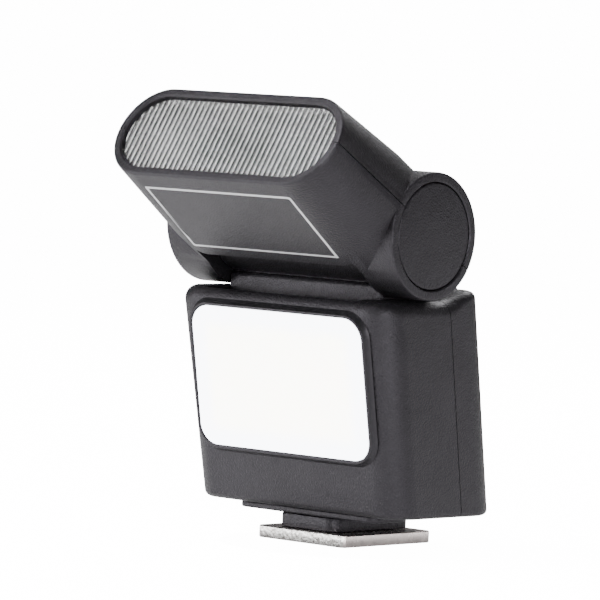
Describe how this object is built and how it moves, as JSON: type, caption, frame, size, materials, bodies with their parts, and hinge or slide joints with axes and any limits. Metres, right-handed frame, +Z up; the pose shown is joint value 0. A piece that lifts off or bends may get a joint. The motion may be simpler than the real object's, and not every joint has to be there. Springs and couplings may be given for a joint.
{
  "type": "speedlight flash",
  "caption": "Compact speedlight flash: a tilting flash head with a ribbed lens on a small leaning body with an LED panel, rear buttons and a hot-shoe foot.",
  "frame": {"origin": "middle of the foot plate's underside, which sits on the camera's shoe", "axes": "+Z up, -Y the side of the LED panel and lens, +X to the right seen from the rear"},
  "size_m": [0.0484, 0.0497, 0.0723],
  "materials": {
    "black_plastic": "fine spark-eroded grain, satin",
    "control_plastic": "satin",
    "insulator_plastic": "smooth",
    "white_diffuser": "smooth opal",
    "clear_lens": "clear, ribbed",
    "reflector_foil": "bright",
    "tube_glass": "clear",
    "soft_rubber": "matte",
    "circuit_board": "solder mask",
    "steel": "satin",
    "brass": "polished",
    "nickel_plate": "nickel plated, stamped edges",
    "capacitor_sleeve": "shrink sleeve",
    "cell_foil": "laminate foil",
    "ferrite": "matte",
    "lamp_plastic": "clear tinted",
    "printed_ink": "silver screen print"
  },
  "bodies": {
    "body": {"base_plinth": "black_plastic", "body_front_shell": "black_plastic", "body_rear_shell": "black_plastic", "brighter_tact_switch": "steel", "charging_port": "steel", "contact_insulator": "insulator_plastic", "contact_spring": "steel", "detent_spring": "steel", "dimmer_tact_switch": "steel", "foot_plate": "nickel_plate", "foot_stem": "black_plastic", "hinge_axle": "steel", "led_board": "circuit_board", "led_diffuser": "white_diffuser", "left_body_screw": "steel", "left_friction_washer": "steel", "left_front_foot_screw": "steel", "left_rear_foot_screw": "steel", "left_retaining_clip": "steel", "lithium_cell": "cell_foil", "main_circuit_board": "circuit_board", "neck_block": "black_plastic", "panel_bezel": "black_plastic", "photoflash_capacitor": "capacitor_sleeve", "pilot_lamp": "lamp_plastic", "right_body_screw": "steel", "right_friction_washer": "steel", "right_front_foot_screw": "steel", "right_rear_foot_screw": "steel", "right_retaining_clip": "steel", "step_up_transformer": "ferrite", "test_tact_switch": "steel"},
    "head": {"head_upper_shell": "black_plastic", "head_lower_shell": "black_plastic", "flash_lens": "clear_lens", "reflector": "reflector_foil", "flash_tube": "tube_glass", "left_tube_boot": "soft_rubber", "right_tube_boot": "soft_rubber", "trigger_board": "circuit_board", "left_hinge_cap": "black_plastic", "right_hinge_cap": "black_plastic", "left_hinge_bush": "brass", "right_hinge_bush": "brass"},
    "test_button": {"test_button": "control_plastic"},
    "dimmer_button": {"dimmer_button": "control_plastic"},
    "brighter_button": {"brighter_button": "control_plastic"},
    "power_switch": {"power_switch": "control_plastic"},
    "contact_pin": {"contact_pin": "brass"},
    "detent_ball": {"detent_ball": "steel"}
  },
  "joints": [
    {"name": "head_tilt", "type": "hinge", "parent": "body", "child": "head", "pos_m": [0, -0.0094, 0.0504], "axis": [-1, 0, 0], "range_deg": [-32, 58]},
    {"name": "test_button_press", "type": "slide", "parent": "body", "child": "test_button", "axis": [0, -0.9825, -0.1865], "range_m": [0, 0.0005], "stiffness_N_per_m": 400, "springref_m": -0.001},
    {"name": "dimmer_button_press", "type": "slide", "parent": "body", "child": "dimmer_button", "axis": [0, -0.9825, -0.1865], "range_m": [0, 0.0005], "stiffness_N_per_m": 400, "springref_m": -0.001},
    {"name": "brighter_button_press", "type": "slide", "parent": "body", "child": "brighter_button", "axis": [0, -0.9825, -0.1865], "range_m": [0, 0.0005], "stiffness_N_per_m": 400, "springref_m": -0.001},
    {"name": "power_switch_slide", "type": "slide", "parent": "body", "child": "power_switch", "axis": [1, 0, 0], "range_m": [0, 0.003]},
    {"name": "contact_pin_press", "type": "slide", "parent": "body", "child": "contact_pin", "axis": [0, 0, 1], "range_m": [0, 0.0009], "stiffness_N_per_m": 400, "springref_m": -0.001, "deforming": ["contact_spring"]},
    {"name": "detent_ball_press", "type": "slide", "parent": "body", "child": "detent_ball", "axis": [-1, 0, 0], "range_m": [0, 0.0002], "stiffness_N_per_m": 400, "springref_m": -0.001}
  ]
}
